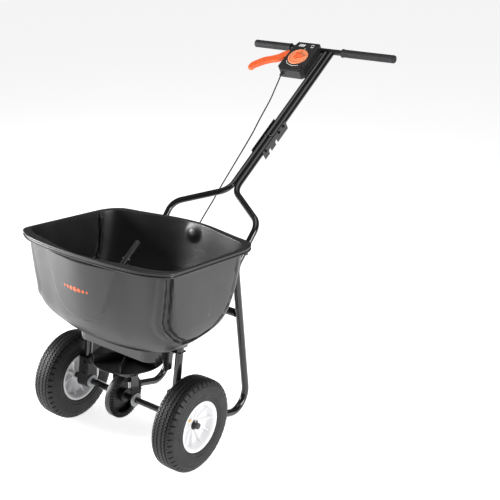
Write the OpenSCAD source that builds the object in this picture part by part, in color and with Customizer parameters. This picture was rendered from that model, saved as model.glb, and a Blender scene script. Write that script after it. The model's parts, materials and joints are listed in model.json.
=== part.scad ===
// Walk-behind broadcast spreader.
// Millimetres. +X is the operator's right, +Y points back towards the operator, +Z is up.
// The origin lies on the ground, straight under the middle of the wheel axle.

/* [Wheels] */
// Outside radius of both tyres, and so the height of the axle
wheel_r = 152; // [148:1:156]
// Half of the track: from the middle plane to the middle of a tyre
half_track = 259; // [259:1:268]
// Width of a tyre
tyre_w = 84; // [78:1:84]
// Radius of the solid axle
axle_r = 10; // [9:0.5:10]

/* [Hopper] */
// Half width of the hopper's wall at the rim
hopper_half_w = 302; // [296:1:303]
// Height of the rim straight above the axle
rim_z = 699; // [670:1:710]
// Fall of the rim towards the back, per millimetre
rim_tilt = 0.075; // [0.04:0.005:0.09]
// Height of the flat hopper floor
floor_z = 400; // [400:1:404]
// Thickness of the moulded wall
wall = 4; // [3:0.5:5]

/* [Frame tubes] */
// Outside radius of the legs and posts
tube_r = 12.7; // [12.7:0.1:13.2]
// Outside radius of the handle tubes and of the crossbar
slim_r = 11; // [10:0.5:11]
// Wall of every tube
tube_wall = 1.5; // [1:0.25:1.5]
// Distance of each leg from the middle plane
leg_x = 180; // [178:1:184]
// Distance of each post from the middle plane
post_x = 193; // [190:1:196]

/* [Handle] */
// Crossbar's place behind the axle
bar_y = 1155; // [1130:5:1180]
// Height of the crossbar
bar_z = 1142; // [1120:2:1160]
// Left end of the crossbar, from the middle plane
bar_left = 346; // [330:2:360]
// Right end of the crossbar, from the middle plane
bar_right = 276; // [250:2:290]
// Outside radius of the two grips
grip_r = 15; // [14:0.5:16]

/* [Gears] */
// Teeth of the crown gear on the axle
crown_teeth = 48; // [48]
// Teeth of the pinion on the impeller shaft
pinion_teeth = 10; // [10]
// Tooth size: pitch diameter per tooth
tooth_module = 2.8; // [2.8]

/* [Impeller] */
// Radius of the spinning disc
disc_r = 120; // [110:1:122]
// Height of the disc's underside
disc_z = 297; // [294:1:300]
// Radius of the impeller shaft
shaft_r = 6; // [5:0.5:6]

/* [Controls] */
// Travel of the gate when the lever is squeezed
gate_travel = 36; // [32:1:36]
// Radius of the setting dial
dial_r = 40; // [36:1:40]

/* [Hidden] */
$fn = 48;
black = [0.09, 0.09, 0.10];
plastic_grey = [0.27, 0.27, 0.28];
steel_grey = [0.55, 0.56, 0.58];
nylon_white = [0.90, 0.91, 0.92];
nylon_grey = [0.55, 0.56, 0.57];
orange = [0.96, 0.36, 0.13];
brass = [0.75, 0.60, 0.30];
rubber = [0.14, 0.14, 0.15];
run_gap = 0.06;                 // radial clearance of every running fit
clear = 0.3;                    // room between parts that pass each other

// Axle, wheels and their hubs
axle_z = wheel_r;
bead_r = 78;                    // where the tyre sits on the rim
flange_r = 84;                  // edge of the rim
rim_half_w = 38;
well_r = 70;                    // outside of the rim's barrel
hub_r = 20;
hub_inner = half_track - 41.9;
hub_outer = half_track + 14;
washer_t = 2.5;
axle_end = hub_outer + 17.5;
cotter_x = hub_outer + 5.5;
groove_x = axle_end - 9.5;      // sets off the free end, which takes a hub cap
rib_count = 10;
valve_angle = 137;              // from straight back, turning up and over to the front
valve_r = 52;

// Crown gear and pinion; the pinion's shaft stands over the middle of the axle
crown_pitch_r = tooth_module * crown_teeth / 2;
pinion_pitch_r = tooth_module * pinion_teeth / 2;
pinion_tip_r = pinion_pitch_r + 2;
pinion_root_r = pinion_pitch_r - 2.6;
crown_tip_x = -pinion_pitch_r + 1.9;
crown_root_x = -pinion_pitch_r - 2.6;
crown_back_x = -38;
crown_out_r = 77;
face_w = 13;

// Handle line: from the crossbar down to where the two tubes part
split_y = 543;
split_z = 734;
handle_angle = atan2(bar_z - split_z, bar_y - split_y);
slim_x = slim_r + 0.25;
joint_s = -472;                 // where upper and lower tubes meet, measured along the handle
elbow = [186, 441, 677.5];      // bend behind the hopper's corner

// Legs: a leaning upright, a bend on the ground, and a rail that rises to the axle
leg_top = [leg_x, 327, 556];
leg_lean = 0.156;
foot_bend_r = 65;
foot_z = foot_bend_r + tube_r;
lean_angle = atan(leg_lean);
rail_rise = 16.5;
down_way = [0, sin(lean_angle), -cos(lean_angle)];
rail_way = [0, -cos(rail_rise), sin(rail_rise)];
function leg_y(z) = leg_top[1] + leg_lean * (leg_top[2] - z);
foot_centre = [leg_x, leg_y(foot_z + foot_bend_r * sin(lean_angle)) - foot_bend_r * cos(lean_angle), foot_z];
foot_corner = foot_centre - unit(rail_way - down_way) * foot_bend_r / cos(acos(rail_way * down_way) / 2);
rail_corner = foot_corner + rail_way * (foot_corner[1] - 85) / cos(rail_rise);
rail_end = [leg_x, 22, 138];
bead_w = 0.6;                   // beads between the straights and the bends of a tube
bead_t = 0.05;
bead_gap = 0.1;
brace_r = 14;
tray_top = floor_z - 2;
tray_t = 3;
strap_t = 4;
brace_z = tray_top - tray_t - strap_t - brace_r;
brace_y = leg_y(brace_z);

// Bearing blocks at the foot of the posts
block_x0 = post_x - 21;
block_w = 42;
bush_r = 13;
post_lean = 0.134;
post_foot = [0, 8, 238];
post_head = [0, 8 + post_lean * (tray_top - 238), tray_top];
block_top = 242;

// Tray under the hopper floor
tray_half_w = 165;
tray_front = -72;
tray_back = 100;
tray_skirt = 48;
tray_corner = 45;               // radius of the tray's two front corners
port_r = 10;                    // half the width of each port
port_y = -50;
port_half = 12;                 // half the distance between the centres of a port's round ends
ports = [-34, 34];
bolt_r = 3;
bolt_bore = bolt_r + run_gap;
bolt_spots = [for (x = [-130, 130], y = [-40, 45]) [x, y]];
stud_y = 82;
splice_spots = [-408, -440, -536];
screw_spots = [[-12.5, 222], [-17, 184]];   // y and z of the screws' seats on a bearing block
gate_t = 3;
gate_z = tray_top - tray_t - clear - gate_t;
gate_half_w = 60;
gate_front = port_y - port_r - 9;
gate_back = 49;
wire_x = -40;
wire_z = gate_z - 6;
wire_r = 1.2;
clip_y = 150;
ferrule_len = 44;
rail_bar_x = 100;

// Gear bracket: a bridge over the gear, hanging on the axle
bracket_top = 256;
bracket_t = 3;
bracket_right = 24;
bracket_left = -58;
cap_r = 40;

// Stirring rod, leaning forward and down through the top of the shaft
rod_r = 10;
rod_len = 140;
rod_rise = 36;
rod_z = 636;
shaft_into = 5;                 // how far the shaft reaches past the rod's middle

// Control box, in the handle's own frame: x across, y along the handle, z away from it
box_x0 = -138;
box_x1 = -27;
box_y0 = -160;
box_chamfer = [18, 12];         // of the front corners, left and right
box_flare = 7;                  // how far the left side opens out towards the front
box_low = -4;
box_mid = 25;
box_top = 36;
cover_screws = [[-124, -14], [-41, -14], [-41, -138]];
cable_exit = [-121, 15];         // x and z of the cable's hole in the front wall
lever_pivot = [-106, -48];
lever_low = 10.4;
tongue_t = 7;
lever_thick_low = 5.5;
lever_t = 14;
lever_line = [[-138, -51], [-160, -55], [-184, -79], [-210, -91], [-236, -104], [-258, -122],
    [-272, -138], [-275, -158]];
lever_half_w = [13, 16, 16, 14, 15, 14, 13, 8];
dial_at = [-83, -88];

// Hopper: the right half of the wall's outside at the rim, and of the lip's outer edge, as
// seen from above, from the front's middle round to the back's middle
middle = [0, 60];
wall_line = [[0, -210], [94, -197], [168, -177], [231, -162], [260, -150], [283, -135], [298, -111],
    [302, -60], [301, 0], [299, 60], [296, 150], [292, 190], [285, 216], [269, 241], [236, 259],
    [160, 284], [71, 314], [0, 323]];
lip_line = [[0, -214.5], [60, -213.5], [121, -210], [197, -200], [238, -189], [265, -175], [286, -162],
    [299, -149], [306, -134], [308, -90], [308, 0], [308, 100], [308, 190], [304, 222], [296, 246],
    [282, 268], [260, 283], [200, 297], [127, 317], [71, 331], [0, 338]];
base_half = [205, 104];         // half sizes of the flat floor's outline
base_square = 2.4;              // its squareness: 2 is an ellipse
flange_out = 8;
lip_h = 13;
lip_t = 3.5;
half_steps = 44;                // points along half an outline
// Each row: share of the height, then how far the side, the front and the back have opened out
levels = [
    [0.02, 0.10, 0.10, 0.07], [0.05, 0.32, 0.27, 0.20], [0.10, 0.57, 0.46, 0.33],
    [0.19, 0.81, 0.64, 0.50], [0.31, 0.91, 0.78, 0.66], [0.48, 0.95, 0.87, 0.80],
    [0.68, 0.97, 0.93, 0.90], [0.89, 0.99, 0.98, 0.97], [1.00, 1.00, 1.00, 1.00]];

// The cable's route, from the control box down to its end on the tray
cable_r = 2.5;
cable_sides = 8;
cable_steps = 4;
cable_route = [
    [-121, 1002, 1056], [-120, 990, 1041], [-114, 955, 1010], [-104, 913, 980], [-97, 841, 923],
    [-89, 776, 872], [-84, 673, 791], [-80, 574, 713], [-77, 536, 682], [-75, 487, 644],
    [-73, 450, 614], [-70, 410, 579], [-66, 365, 536], [-61, 320, 489], [-54, 276, 440],
    [-46, 232, 404], [-41, 205, 389], [wire_x, clip_y + ferrule_len, wire_z]];

// ---------- shared shapes ----------

function unit(v) = v / norm(v);

// A tube or bar between two points
module rod_between(a, b, r, inner = 0) {
    d = b - a;
    translate(a) rotate([0, acos(d[2] / norm(d)), atan2(d[1], d[0])]) difference() {
        cylinder(r = r, h = norm(d));
        if (inner > 0) translate([0, 0, -1]) cylinder(r = inner, h = norm(d) + 2);
    }
}

// A thin bead round a tube at p, which joins a straight stretch to a bend
module bead(p, way, r, inner) {
    rod_between(p - way * bead_w / 2, p + way * bead_w / 2, r + bead_t, inner - bead_t);
}

// The round stretch of a tube at corner b, on the way from a to c
module bend_at(a, b, c, bend_r, r, inner) {
    d1 = unit(b - a);
    d2 = unit(c - b);
    turn = acos(d1 * d2);
    reach = bend_r * tan(turn / 2);
    start = b - d1 * reach;
    centre = b + unit(d2 - d1) * bend_r / cos(turn / 2);
    ex = unit(start - centre);
    ez = unit(cross(ex, d1));
    ey = cross(ez, ex);
    multmatrix([[ex[0], ey[0], ez[0], centre[0]],
                [ex[1], ey[1], ez[1], centre[1]],
                [ex[2], ey[2], ez[2], centre[2]],
                [0, 0, 0, 1]])
        rotate_extrude(angle = turn) translate([bend_r, 0]) difference() {
            circle(r = r);
            circle(r = inner);
        }
    bead(start, d1, r, inner);
    bead(b + d2 * reach, d2, r, inner);
}

// How much of the straight a bend at inner point i takes up
function bend_trim(pts, radii, i) = (i == 0 || i == len(pts) - 1) ? 0 : bead_gap +
    radii[i - 1] * tan(acos(unit(pts[i] - pts[i - 1]) * unit(pts[i + 1] - pts[i])) / 2);

// A bent tube through points pts; radii holds the bend radius at each inner point
module bent_tube(pts, radii, r, inner) {
    for (i = [0 : len(pts) - 2]) {
        d = unit(pts[i + 1] - pts[i]);
        rod_between(pts[i] + d * bend_trim(pts, radii, i),
                    pts[i + 1] - d * bend_trim(pts, radii, i + 1), r, inner);
    }
    for (i = [1 : len(pts) - 2]) bend_at(pts[i - 1], pts[i], pts[i + 1], radii[i - 1], r, inner);
}

// A cylinder lying along X, from x0 to x1
module along_x(x0, x1, r, y = 0, z = 0) {
    translate([x0, y, z]) rotate([0, 90, 0]) cylinder(r = r, h = x1 - x0);
}

// Draws its children as they are for the right side, mirrored for the left side
module on_side(side) {
    mirror([side < 0 ? 1 : 0, 0, 0]) children();
}

// Everything on the handle is drawn in the handle's own frame
module in_handle() {
    translate([0, bar_y, bar_z]) rotate([handle_angle, 0, 0]) children();
}

function handle_point(x, s, h) = [x,
    bar_y + s * cos(handle_angle) - h * sin(handle_angle),
    bar_z + s * sin(handle_angle) + h * cos(handle_angle)];

// A hexagon bolt along +Z: head below zero, nut above the clamped thickness
module bolt(r, grip) {
    translate([0, 0, -r * 1.1]) cylinder(r = r * 1.9, h = r * 1.1, $fn = 6);
    cylinder(r = r, h = grip + r * 1.9);
    translate([0, 0, grip]) cylinder(r = r * 1.85, h = r * 1.4, $fn = 6);
}

module bolt_along_x(x0, x1, y, z, r) {
    translate([x0, y, z]) rotate([0, 90, 0]) bolt(r, x1 - x0);
}

// Bores for the bolts that cross the tubes and for the studs of the straps
leg_bolt = leg_top + unit(elbow - leg_top) * 54;
module leg_bore() {
    along_x(leg_bolt[0] - 40, leg_bolt[0] + 40, bolt_bore, leg_bolt[1], leg_bolt[2]);
}

module splice_bores() {
    for (s = splice_spots) along_x(-40, 40, bolt_bore, s, 0);
}

module strap_bores() {
    for (x = [-rail_bar_x, rail_bar_x])
        translate([x, stud_y, tray_top - 20]) cylinder(r = bolt_bore, h = 30);
}

// A closed loft through rings of equal length, listed from the bottom up
module loft(rings) {
    n = len(rings[0]);
    m = len(rings);
    polyhedron(
        points = [for (ring = rings) for (p = ring) p],
        faces = concat(
            [[for (i = [0 : n - 1]) i]],
            [for (k = [0 : m - 2]) for (i = [0 : n - 1]) let (j = (i + 1) % n)
                [k * n + i, (k + 1) * n + i, (k + 1) * n + j, k * n + j]],
            [[for (i = [n - 1 : -1 : 0]) (m - 1) * n + i]]),
        convexity = 6);
}

// A smooth curve through points, split into a few steps between each two
function spline_at(p, i, t) = let (
    a = p[max(i - 1, 0)], b = p[i], c = p[i + 1], d = p[min(i + 2, len(p) - 1)])
    0.5 * ((2 * b) + (c - a) * t + (2 * a - 5 * b + 4 * c - d) * t * t
        + (3 * b - a - 3 * c + d) * t * t * t);
function spline(p, steps) = concat(
    [for (i = [0 : len(p) - 2]) for (k = [0 : steps - 1]) spline_at(p, i, k / steps)],
    [p[len(p) - 1]]);

// ---------- hopper ----------

function turn_between(a, b) = a[0] * b[1] - a[1] * b[0];

// Where a ray from the middle, at angle a, crosses a half outline
function ray_hit(line, a) =
    let (d = [cos(a), sin(a)],
         hits = [for (i = [0 : len(line) - 2])
            let (p = line[i] - middle, q = line[i + 1] - middle,
                 s = turn_between(d, p), t = turn_between(d, q))
            if (s < 1e-6 && t > -1e-6) middle + p + (q - p) * s / (s - t)])
    hits[0];

// A whole outline from its right half, and its left half mirrored
function both_halves(right) = concat(right,
    [for (i = [len(right) - 2 : -1 : 1]) [-right[i][0], right[i][1]]]);
function half_angle(i) = -90 + 180 * i / half_steps;
function outline_of(line) = both_halves([for (i = [0 : half_steps]) ray_hit(line, half_angle(i))]);

function signed_pow(v, e) = sign(v) * pow(abs(v), e);
base_outline = both_halves([for (i = [0 : half_steps]) let (a = half_angle(i))
    [base_half[0] * signed_pow(cos(a), 2 / base_square),
     base_half[1] * signed_pow(sin(a), 2 / base_square)]]);
// A half outline made smooth, with a mirrored point past each end so that it crosses squarely
function mirror_point(p) = [-p[0], p[1]];
function smooth_half(line) =
    spline(concat([mirror_point(line[1])], line, [mirror_point(line[len(line) - 2])]), 4);
wall_outline = outline_of(smooth_half([for (p = wall_line) [p[0] * hopper_half_w / 302, p[1]]]));
lip_outline = outline_of(smooth_half(lip_line));

// Each point moved outwards by g, away from c
function grown(ring, g, c) = [for (p = ring) p + g * unit(p - c)];
// A flat ring at height z, and a ring that follows the rim's fall, up above it
function flat_ring(ring, z) = [for (p = ring) [p[0], p[1], z]];
function rim_ring(ring, up) = [for (p = ring) [p[0], p[1], rim_z - rim_tilt * p[1] + up]];

// The wall at one level, grown outwards by g
function wall_ring(level, g) = [for (i = [0 : len(base_outline) - 1])
    let (b = base_outline[i], w = wall_outline[i],
         p = [b[0] + (w[0] - b[0]) * level[1],
              b[1] + (w[1] - b[1]) * (b[1] < 0 ? level[2] : level[3])],
         q = p + g * unit(p - middle * level[0]))
    [q[0], q[1], floor_z + level[0] * (rim_z - floor_z) - rim_tilt * level[0] * level[0] * p[1]]];

// A port: a slot with round ends, where the granules fall through
module port(x, z) {
    for (end = [-port_half, port_half]) translate([x + end, port_y, z]) cylinder(r = port_r, h = 30);
    translate([x - port_half, port_y - port_r, z]) cube([2 * port_half, 2 * port_r, 30]);
}

// One closed skin: flange, wall, underside and edge of the lip, then down the inside
module hopper_cup() {
    loft(concat(
        [flat_ring(grown(base_outline, flange_out, [0, 0]), tray_top),
         flat_ring(grown(base_outline, flange_out, [0, 0]), tray_top + 3),
         flat_ring(grown(base_outline, 1, [0, 0]), tray_top + 3.5)],
        [for (i = [0 : len(levels) - 2]) wall_ring(levels[i], 0)],
        [rim_ring(wall_outline, -lip_t),
         rim_ring(grown(lip_outline, -lip_t, middle), -lip_t),
         rim_ring(grown(lip_outline, -lip_t, middle), -lip_h),
         rim_ring(lip_outline, -lip_h),
         rim_ring(lip_outline, -1.5),
         rim_ring(grown(lip_outline, -1.5, middle), 0),
         rim_ring(grown(wall_outline, -wall, middle), 0)],
        [for (i = [len(levels) - 2 : -1 : 1]) wall_ring(levels[i], -wall)],
        [flat_ring(grown(base_outline, -wall, [0, 0]), floor_z + wall)]));
}

module hopper() {
    color(plastic_grey) difference() {
        hopper_cup();
        translate([0, 0, floor_z - 10]) cylinder(r = 12, h = 30);
        for (x = ports) port(x, floor_z - 10);
        for (p = bolt_spots) translate([p[0], p[1], floor_z - 10]) cylinder(r = bolt_bore, h = 30);
    }
}

module hopper_bolts() {
    color(steel_grey) for (p = bolt_spots)
        translate([p[0], p[1], floor_z + wall]) rotate([180, 0, 0])
            bolt(bolt_r, floor_z + wall - tray_top + tray_t);
}

// ---------- tray, gate and the impeller's upper bearing ----------

// The tray from above: round front corners, and an inset that leaves the back edge open
module tray_plan(inset) {
    r = tray_corner - inset;
    x = tray_half_w - tray_corner;
    y = tray_front + tray_corner;
    polygon(concat(
        [for (a = [0 : -15 : -90]) [x + r * cos(a), y + r * sin(a)]],
        [for (a = [-90 : -15 : -180]) [-x + r * cos(a), y + r * sin(a)]],
        [[inset - tray_half_w, tray_back + inset], [tray_half_w - inset, tray_back + inset]]));
}

module support_tray() {
    skirt_z = tray_top - tray_skirt;
    color(black) difference() {
        union() {
            translate([0, 0, tray_top - tray_t]) linear_extrude(height = tray_t) tray_plan(0);
            translate([0, 0, skirt_z]) linear_extrude(height = tray_skirt) difference() {
                tray_plan(0);
                tray_plan(tray_t);
            }
            for (side = [-1, 1]) on_side(side) {
                translate([tray_half_w - tray_t, 0, 0]) rotate([90, 0, 90])
                    linear_extrude(height = tray_t)
                        polygon([[-20, skirt_z + 1], [-14, 306], [20, 302], [28, skirt_z + 1]]);
                translate([tray_half_w - 1, 10, tray_top - 30])
                    cube([post_x + tube_r + 2.5 - tray_half_w, 32, tray_t]);
            }
        }
        translate([0, 0, tray_top - 10]) cylinder(r = 12, h = 20);
        for (x = ports) port(x, tray_top - 15);
        for (p = bolt_spots) translate([p[0], p[1], tray_top - 10]) cylinder(r = bolt_bore, h = 20);
        strap_bores();
        for (side = [-1, 1]) on_side(side) post_bar(tube_r, 0);
    }
}

// Two rails with a ledge each, which carry the gate against the tray
module gate_guides() {
    low = gate_z - 3.5;
    color(black) for (side = [-1, 1]) on_side(side) difference() {
        translate([gate_half_w - 6, tray_front + 4, low]) cube([18, 160, tray_top - tray_t - low]);
        translate([gate_half_w - 10, tray_front, gate_z - clear]) cube([10 + clear, 170, 20]);
    }
}

module shaft_bush() {
    low = tray_top - tray_t;
    color(black) difference() {
        union() {
            translate([0, 0, low]) cylinder(r = 12, h = floor_z + wall + 8 - low);
            translate([0, 0, floor_z + wall]) cylinder(r = 17, h = 4);
        }
        translate([0, 0, low - 1]) cylinder(r = shaft_r + run_gap, h = 60);
    }
}

// The gate slides back to open the ports; its slot lets it pass the shaft
module gate_plate() {
    color(steel_grey) difference() {
        union() {
            translate([-gate_half_w, gate_front, gate_z])
                cube([2 * gate_half_w, gate_back - gate_front, gate_t]);
            translate([wire_x - 8, gate_back - 3, gate_z - 12]) cube([16, 3, 13]);
        }
        translate([-8.5, -gate_travel - 3, gate_z - 1]) cube([17, gate_travel + 6, gate_t + 2]);
        for (y = [-gate_travel - 3, 3]) translate([0, y, gate_z - 1]) cylinder(r = 8.5, h = gate_t + 2);
        translate([wire_x, gate_back - 10, wire_z]) rotate([-90, 0, 0]) cylinder(r = wire_r, h = 20);
    }
}

// The cable's inner wire, with its end knob in front of the gate's tab
module gate_wire() {
    color(steel_grey) translate([wire_x, gate_back - 9, wire_z]) rotate([-90, 0, 0]) {
        cylinder(r = 3, h = 6);
        cylinder(r = wire_r, h = clip_y - gate_back + 13);
    }
}

module cable_clip() {
    drop = tray_top - tray_t - wire_z + 9;
    color(black) difference() {
        union() {
            translate([wire_x - 9, tray_back - 12, tray_top - tray_t - 3])
                cube([18, clip_y - tray_back + 12, 3]);
            translate([wire_x - 9, clip_y - 3, tray_top - tray_t - drop]) cube([18, 3, drop]);
        }
        translate([wire_x, clip_y - 10, wire_z]) rotate([-90, 0, 0])
            cylinder(r = wire_r + run_gap, h = 20);
    }
}

module cable_ferrule() {
    color(steel_grey) translate([wire_x, clip_y, wire_z]) rotate([-90, 0, 0]) difference() {
        union() {
            cylinder(r = 3.6, h = ferrule_len);
            cylinder(r = 5.5, h = 8, $fn = 6);
        }
        translate([0, 0, -1]) cylinder(r = wire_r + run_gap, h = ferrule_len - 2);
    }
}

module control_cable() {
    p = spline(cable_route, cable_steps);
    n = len(p);
    color(black) loft([for (i = [n - 1 : -1 : 0])
        let (d = unit(p[min(i + 1, n - 1)] - p[max(i - 1, 0)]),
             u = unit(cross(d, [1, 0, 0])),
             v = cross(u, d))
        [for (k = [0 : cable_sides - 1]) let (a = 360 * k / cable_sides)
            p[i] + cable_r * (cos(a) * u + sin(a) * v)]]);
}

// ---------- posts, bearing blocks, legs ----------

module post_bar(r, inner) {
    translate([post_x, 0, 0]) rod_between(post_foot, post_head, r, inner);
}

// A post, cut off level under the hopper's flange
module post(side) {
    color(black) on_side(side) difference() {
        translate([post_x, 0, 0])
            rod_between(post_foot, post_head + (post_head - post_foot) * 0.1, tube_r, tube_r - tube_wall);
        translate([post_x - 40, -60, tray_top]) cube([80, 160, 60]);
    }
}

module leg_path(r, inner) {
    up_way = unit([elbow[0], elbow[1], elbow[2]] - leg_top);
    bent_tube([rail_end, rail_corner, foot_corner, leg_top, leg_top + up_way * 70],
        [60, foot_bend_r, 50], r, inner);
}

module bearing_block(side) {
    color(black) on_side(side) difference() {
        union() {
            along_x(block_x0, block_x0 + block_w, 24, 0, axle_z);
            translate([block_x0, 0, 0]) rotate([90, 0, 90]) linear_extrude(height = block_w)
                polygon([[-24, axle_z], [-11, block_top], [27, block_top], [24, axle_z],
                    [36, 137], [24, 121], [6, 130]]);
        }
        along_x(block_x0 - 1, block_x0 + block_w + 1, bush_r, 0, axle_z);
        post_bar(tube_r, 0);
        rod_between(rail_end, rail_corner, tube_r);
        translate([block_x0 - 1, -40, 205]) cube([block_w + 2, 29, 2]);
        for (p = screw_spots) translate([post_x, p[0], p[1]]) rotate([90, 0, 0])
            cylinder(r = 6 + clear, h = 40);
    }
}

// Clamp screws of each block, in two seats down its front edge
module block_screws() {
    color(steel_grey) for (side = [-1, 1]) on_side(side) {
        for (p = screw_spots)
            translate([post_x, p[0], p[1]]) rotate([90, 0, 0]) cylinder(r = 6, h = 5, $fn = 6);
    }
}

module axle_bush(side) {
    color(nylon_grey) on_side(side) difference() {
        union() {
            along_x(block_x0, block_x0 + block_w, bush_r, 0, axle_z);
            along_x(block_x0 - 4, block_x0, 22, 0, axle_z);
        }
        along_x(block_x0 - 5, block_x0 + block_w + 1, axle_r + run_gap, 0, axle_z);
    }
}

module leg(side) {
    color(black) on_side(side) difference() {
        leg_path(tube_r, tube_r - tube_wall);
        leg_bore();
    }
}

module rear_cross_tube() {
    color(black) difference() {
        along_x(-leg_x, leg_x, brace_r, brace_y, brace_z);
        along_x(-leg_x - 1, leg_x + 1, brace_r - tube_wall, brace_y, brace_z);
        for (side = [-1, 1]) on_side(side)
            rod_between([leg_x, leg_y(200), 200], [leg_x, leg_y(500), 500], tube_r);
    }
}

// Two flat bars from the tray back to the cross tube
module rail_straps() {
    color(black) difference() {
        for (x = [-rail_bar_x, rail_bar_x])
            translate([x - 10, 66, tray_top - tray_t - strap_t]) cube([20, brace_y + 6 - 66, strap_t]);
        strap_bores();
    }
}

// ---------- handle ----------

module lower_handle(side) {
    way = unit(elbow - leg_top);
    joint = handle_point(slim_x, joint_s - 2, 0);
    split = [slim_x, split_y, split_z];
    color(black) on_side(side) difference() {
        bent_tube([leg_top + way * 34, elbow, split, joint], [60, 65], slim_r, slim_r - tube_wall);
        leg_bore();
        in_handle() splice_bores();
    }
}

module upper_handle(side) {
    color(black) on_side(side) in_handle() difference() {
        translate([slim_x, joint_s, 0]) rotate([-90, 0, 0]) difference() {
            cylinder(r = slim_r, h = -joint_s);
            translate([0, 0, -1]) cylinder(r = slim_r - tube_wall, h = -joint_s + 2);
        }
        along_x(-60, 60, slim_r);
        splice_bores();
    }
}

// Side plate of the splice, with two notches in its lower edge
module splice_plate(side) {
    x0 = slim_x + slim_r;
    color(black) on_side(side) in_handle() difference() {
        translate([x0, -554, -26]) cube([3, 164, 37]);
        for (s = [-470, -515]) {
            translate([x0 - 1, s - 7, -27]) cube([5, 14, 10]);
            translate([x0 - 1, s, -17]) rotate([0, 90, 0]) cylinder(r = 7, h = 5);
        }
        for (s = [-390, -554]) translate([x0 - 1, s, -26]) rotate([45, 0, 0])
            cube([5, 14, 14], center = true);
        splice_bores();
    }
}

module splice_bolts() {
    reach = slim_x + slim_r + 3;
    color(steel_grey) in_handle() for (s = splice_spots) bolt_along_x(-reach, reach, s, 0, bolt_r);
}

module crossbar() {
    color(black) in_handle() difference() {
        along_x(-bar_left + 3, bar_right - 3, slim_r);
        along_x(-bar_left + 2, bar_right, slim_r - tube_wall);
    }
}

// A grip: a sleeve with a closed outer end and a collar at its inner end
module grip(outer_end, inner_end) {
    way = sign(outer_end - inner_end);
    color(rubber) in_handle() translate([inner_end, 0, 0]) rotate([0, way * 90, 0])
        rotate_extrude() polygon([
            [slim_r, 0], [grip_r + 1.5, 0], [grip_r + 1.5, 4], [grip_r, 6],
            [grip_r, abs(outer_end - inner_end) - 4], [grip_r - 3, abs(outer_end - inner_end)],
            [0, abs(outer_end - inner_end)], [0, abs(outer_end - inner_end) - 3],
            [slim_r, abs(outer_end - inner_end) - 3]]);
}

// Bolts where the handle slides into the legs, and studs that hold the straps to the tray
module frame_bolts() {
    color(steel_grey) {
        for (side = [-1, 1]) on_side(side)
            bolt_along_x(leg_bolt[0] - tube_r - clear, leg_bolt[0] + tube_r + clear,
                leg_bolt[1], leg_bolt[2], bolt_r);
        for (x = [-rail_bar_x, rail_bar_x]) translate([x, stud_y, tray_top]) rotate([180, 0, 0]) {
            cylinder(r = bolt_r, h = tray_t + strap_t + 6);
            translate([0, 0, tray_t + strap_t]) cylinder(r = 5.5, h = 4.2, $fn = 6);
        }
    }
}

// ---------- control box ----------

// The box from above: small chamfers at the crossbar, larger ones in front, and a left
// side that opens out towards the front
module box_outline(inset) {
    right = box_x1 - inset;
    left = box_x0 + inset;
    front = box_y0 + inset;
    polygon([[left, -26], [left + 8, -inset], [right - 8, -inset], [right, -26],
        [right, front + box_chamfer[1]], [right - box_chamfer[1], front],
        [left - box_flare + box_chamfer[0], front], [left - box_flare, front + box_chamfer[0]]]);
}

module control_base() {
    color(black) in_handle() difference() {
        union() {
            difference() {
                translate([0, 0, box_low]) linear_extrude(height = box_mid - box_low) box_outline(0);
                translate([0, 0, box_low + 3]) linear_extrude(height = box_mid) box_outline(3);
            }
            difference() {
                along_x(box_x0 + 8, box_x1 - 8, 15.5);
                translate([-200, -40, box_low + 3]) cube([300, 80, 30]);
            }
            translate([lever_pivot[0], lever_pivot[1], box_low])
                cylinder(r = 9, h = lever_low - clear - box_low);
        }
        along_x(-200, 60, slim_r);
        translate([lever_pivot[0], lever_pivot[1], box_low + 1]) cylinder(r = 4, h = 40);
        translate([box_x0 - 5, -72, lever_low - clear]) cube([16, 60, tongue_t + 2 * clear]);
        translate([cable_exit[0], box_y0 - 1, cable_exit[1]]) rotate([-90, 0, 0]) cylinder(r = 4, h = 10);
    }
}

module control_cover() {
    color(black) in_handle() difference() {
        union() {
            translate([0, 0, box_mid]) linear_extrude(height = box_top - box_mid - 3) box_outline(0);
            translate([0, 0, box_top - 3]) linear_extrude(height = 3) box_outline(3);
            translate([dial_at[0], dial_at[1], box_top]) cylinder(r = dial_r + 3, h = 3);
        }
        translate([0, 0, box_mid - 1]) linear_extrude(height = box_top - box_mid - 3) box_outline(3);
        translate([dial_at[0], dial_at[1], box_top]) cylinder(r = dial_r + clear, h = 4);
        translate([dial_at[0], dial_at[1], 0]) cylinder(r = 6 + run_gap, h = 60);
        for (p = cover_screws) translate([p[0], p[1], box_mid]) cylinder(r = 2, h = 20);
    }
}

module control_screws() {
    color(steel_grey) in_handle() for (p = cover_screws)
        translate([p[0], p[1], box_mid + 1]) {
            cylinder(r = 2, h = box_top - box_mid - 1);
            translate([0, 0, box_top - box_mid - 1]) cylinder(r = 3.6, h = 1.6);
        }
}

module lever_pin() {
    color(steel_grey) in_handle() translate([lever_pivot[0], lever_pivot[1], box_low + 1]) {
        cylinder(r = 4, h = box_mid - box_low + 5);
        translate([0, 0, lever_low + tongue_t - box_low - 1 + clear]) cylinder(r = 7, h = 2);
    }
}

// Outline of the lever's hand part, around its own centre line
module lever_outline() {
    line = spline([for (i = [0 : len(lever_line) - 1])
        [lever_line[i][0], lever_line[i][1], lever_half_w[i]]], 5);
    n = len(line);
    sides = [for (i = [0 : n - 1])
        let (a = line[max(i - 1, 0)], b = line[min(i + 1, n - 1)],
             d = unit([b[0] - a[0], b[1] - a[1]]))
        [[line[i][0] - d[1] * line[i][2], line[i][1] + d[0] * line[i][2]],
         [line[i][0] + d[1] * line[i][2], line[i][1] - d[0] * line[i][2]]]];
    polygon(concat([for (s = sides) s[0]], [for (i = [n - 1 : -1 : 0]) sides[i][1]]));
}

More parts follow.
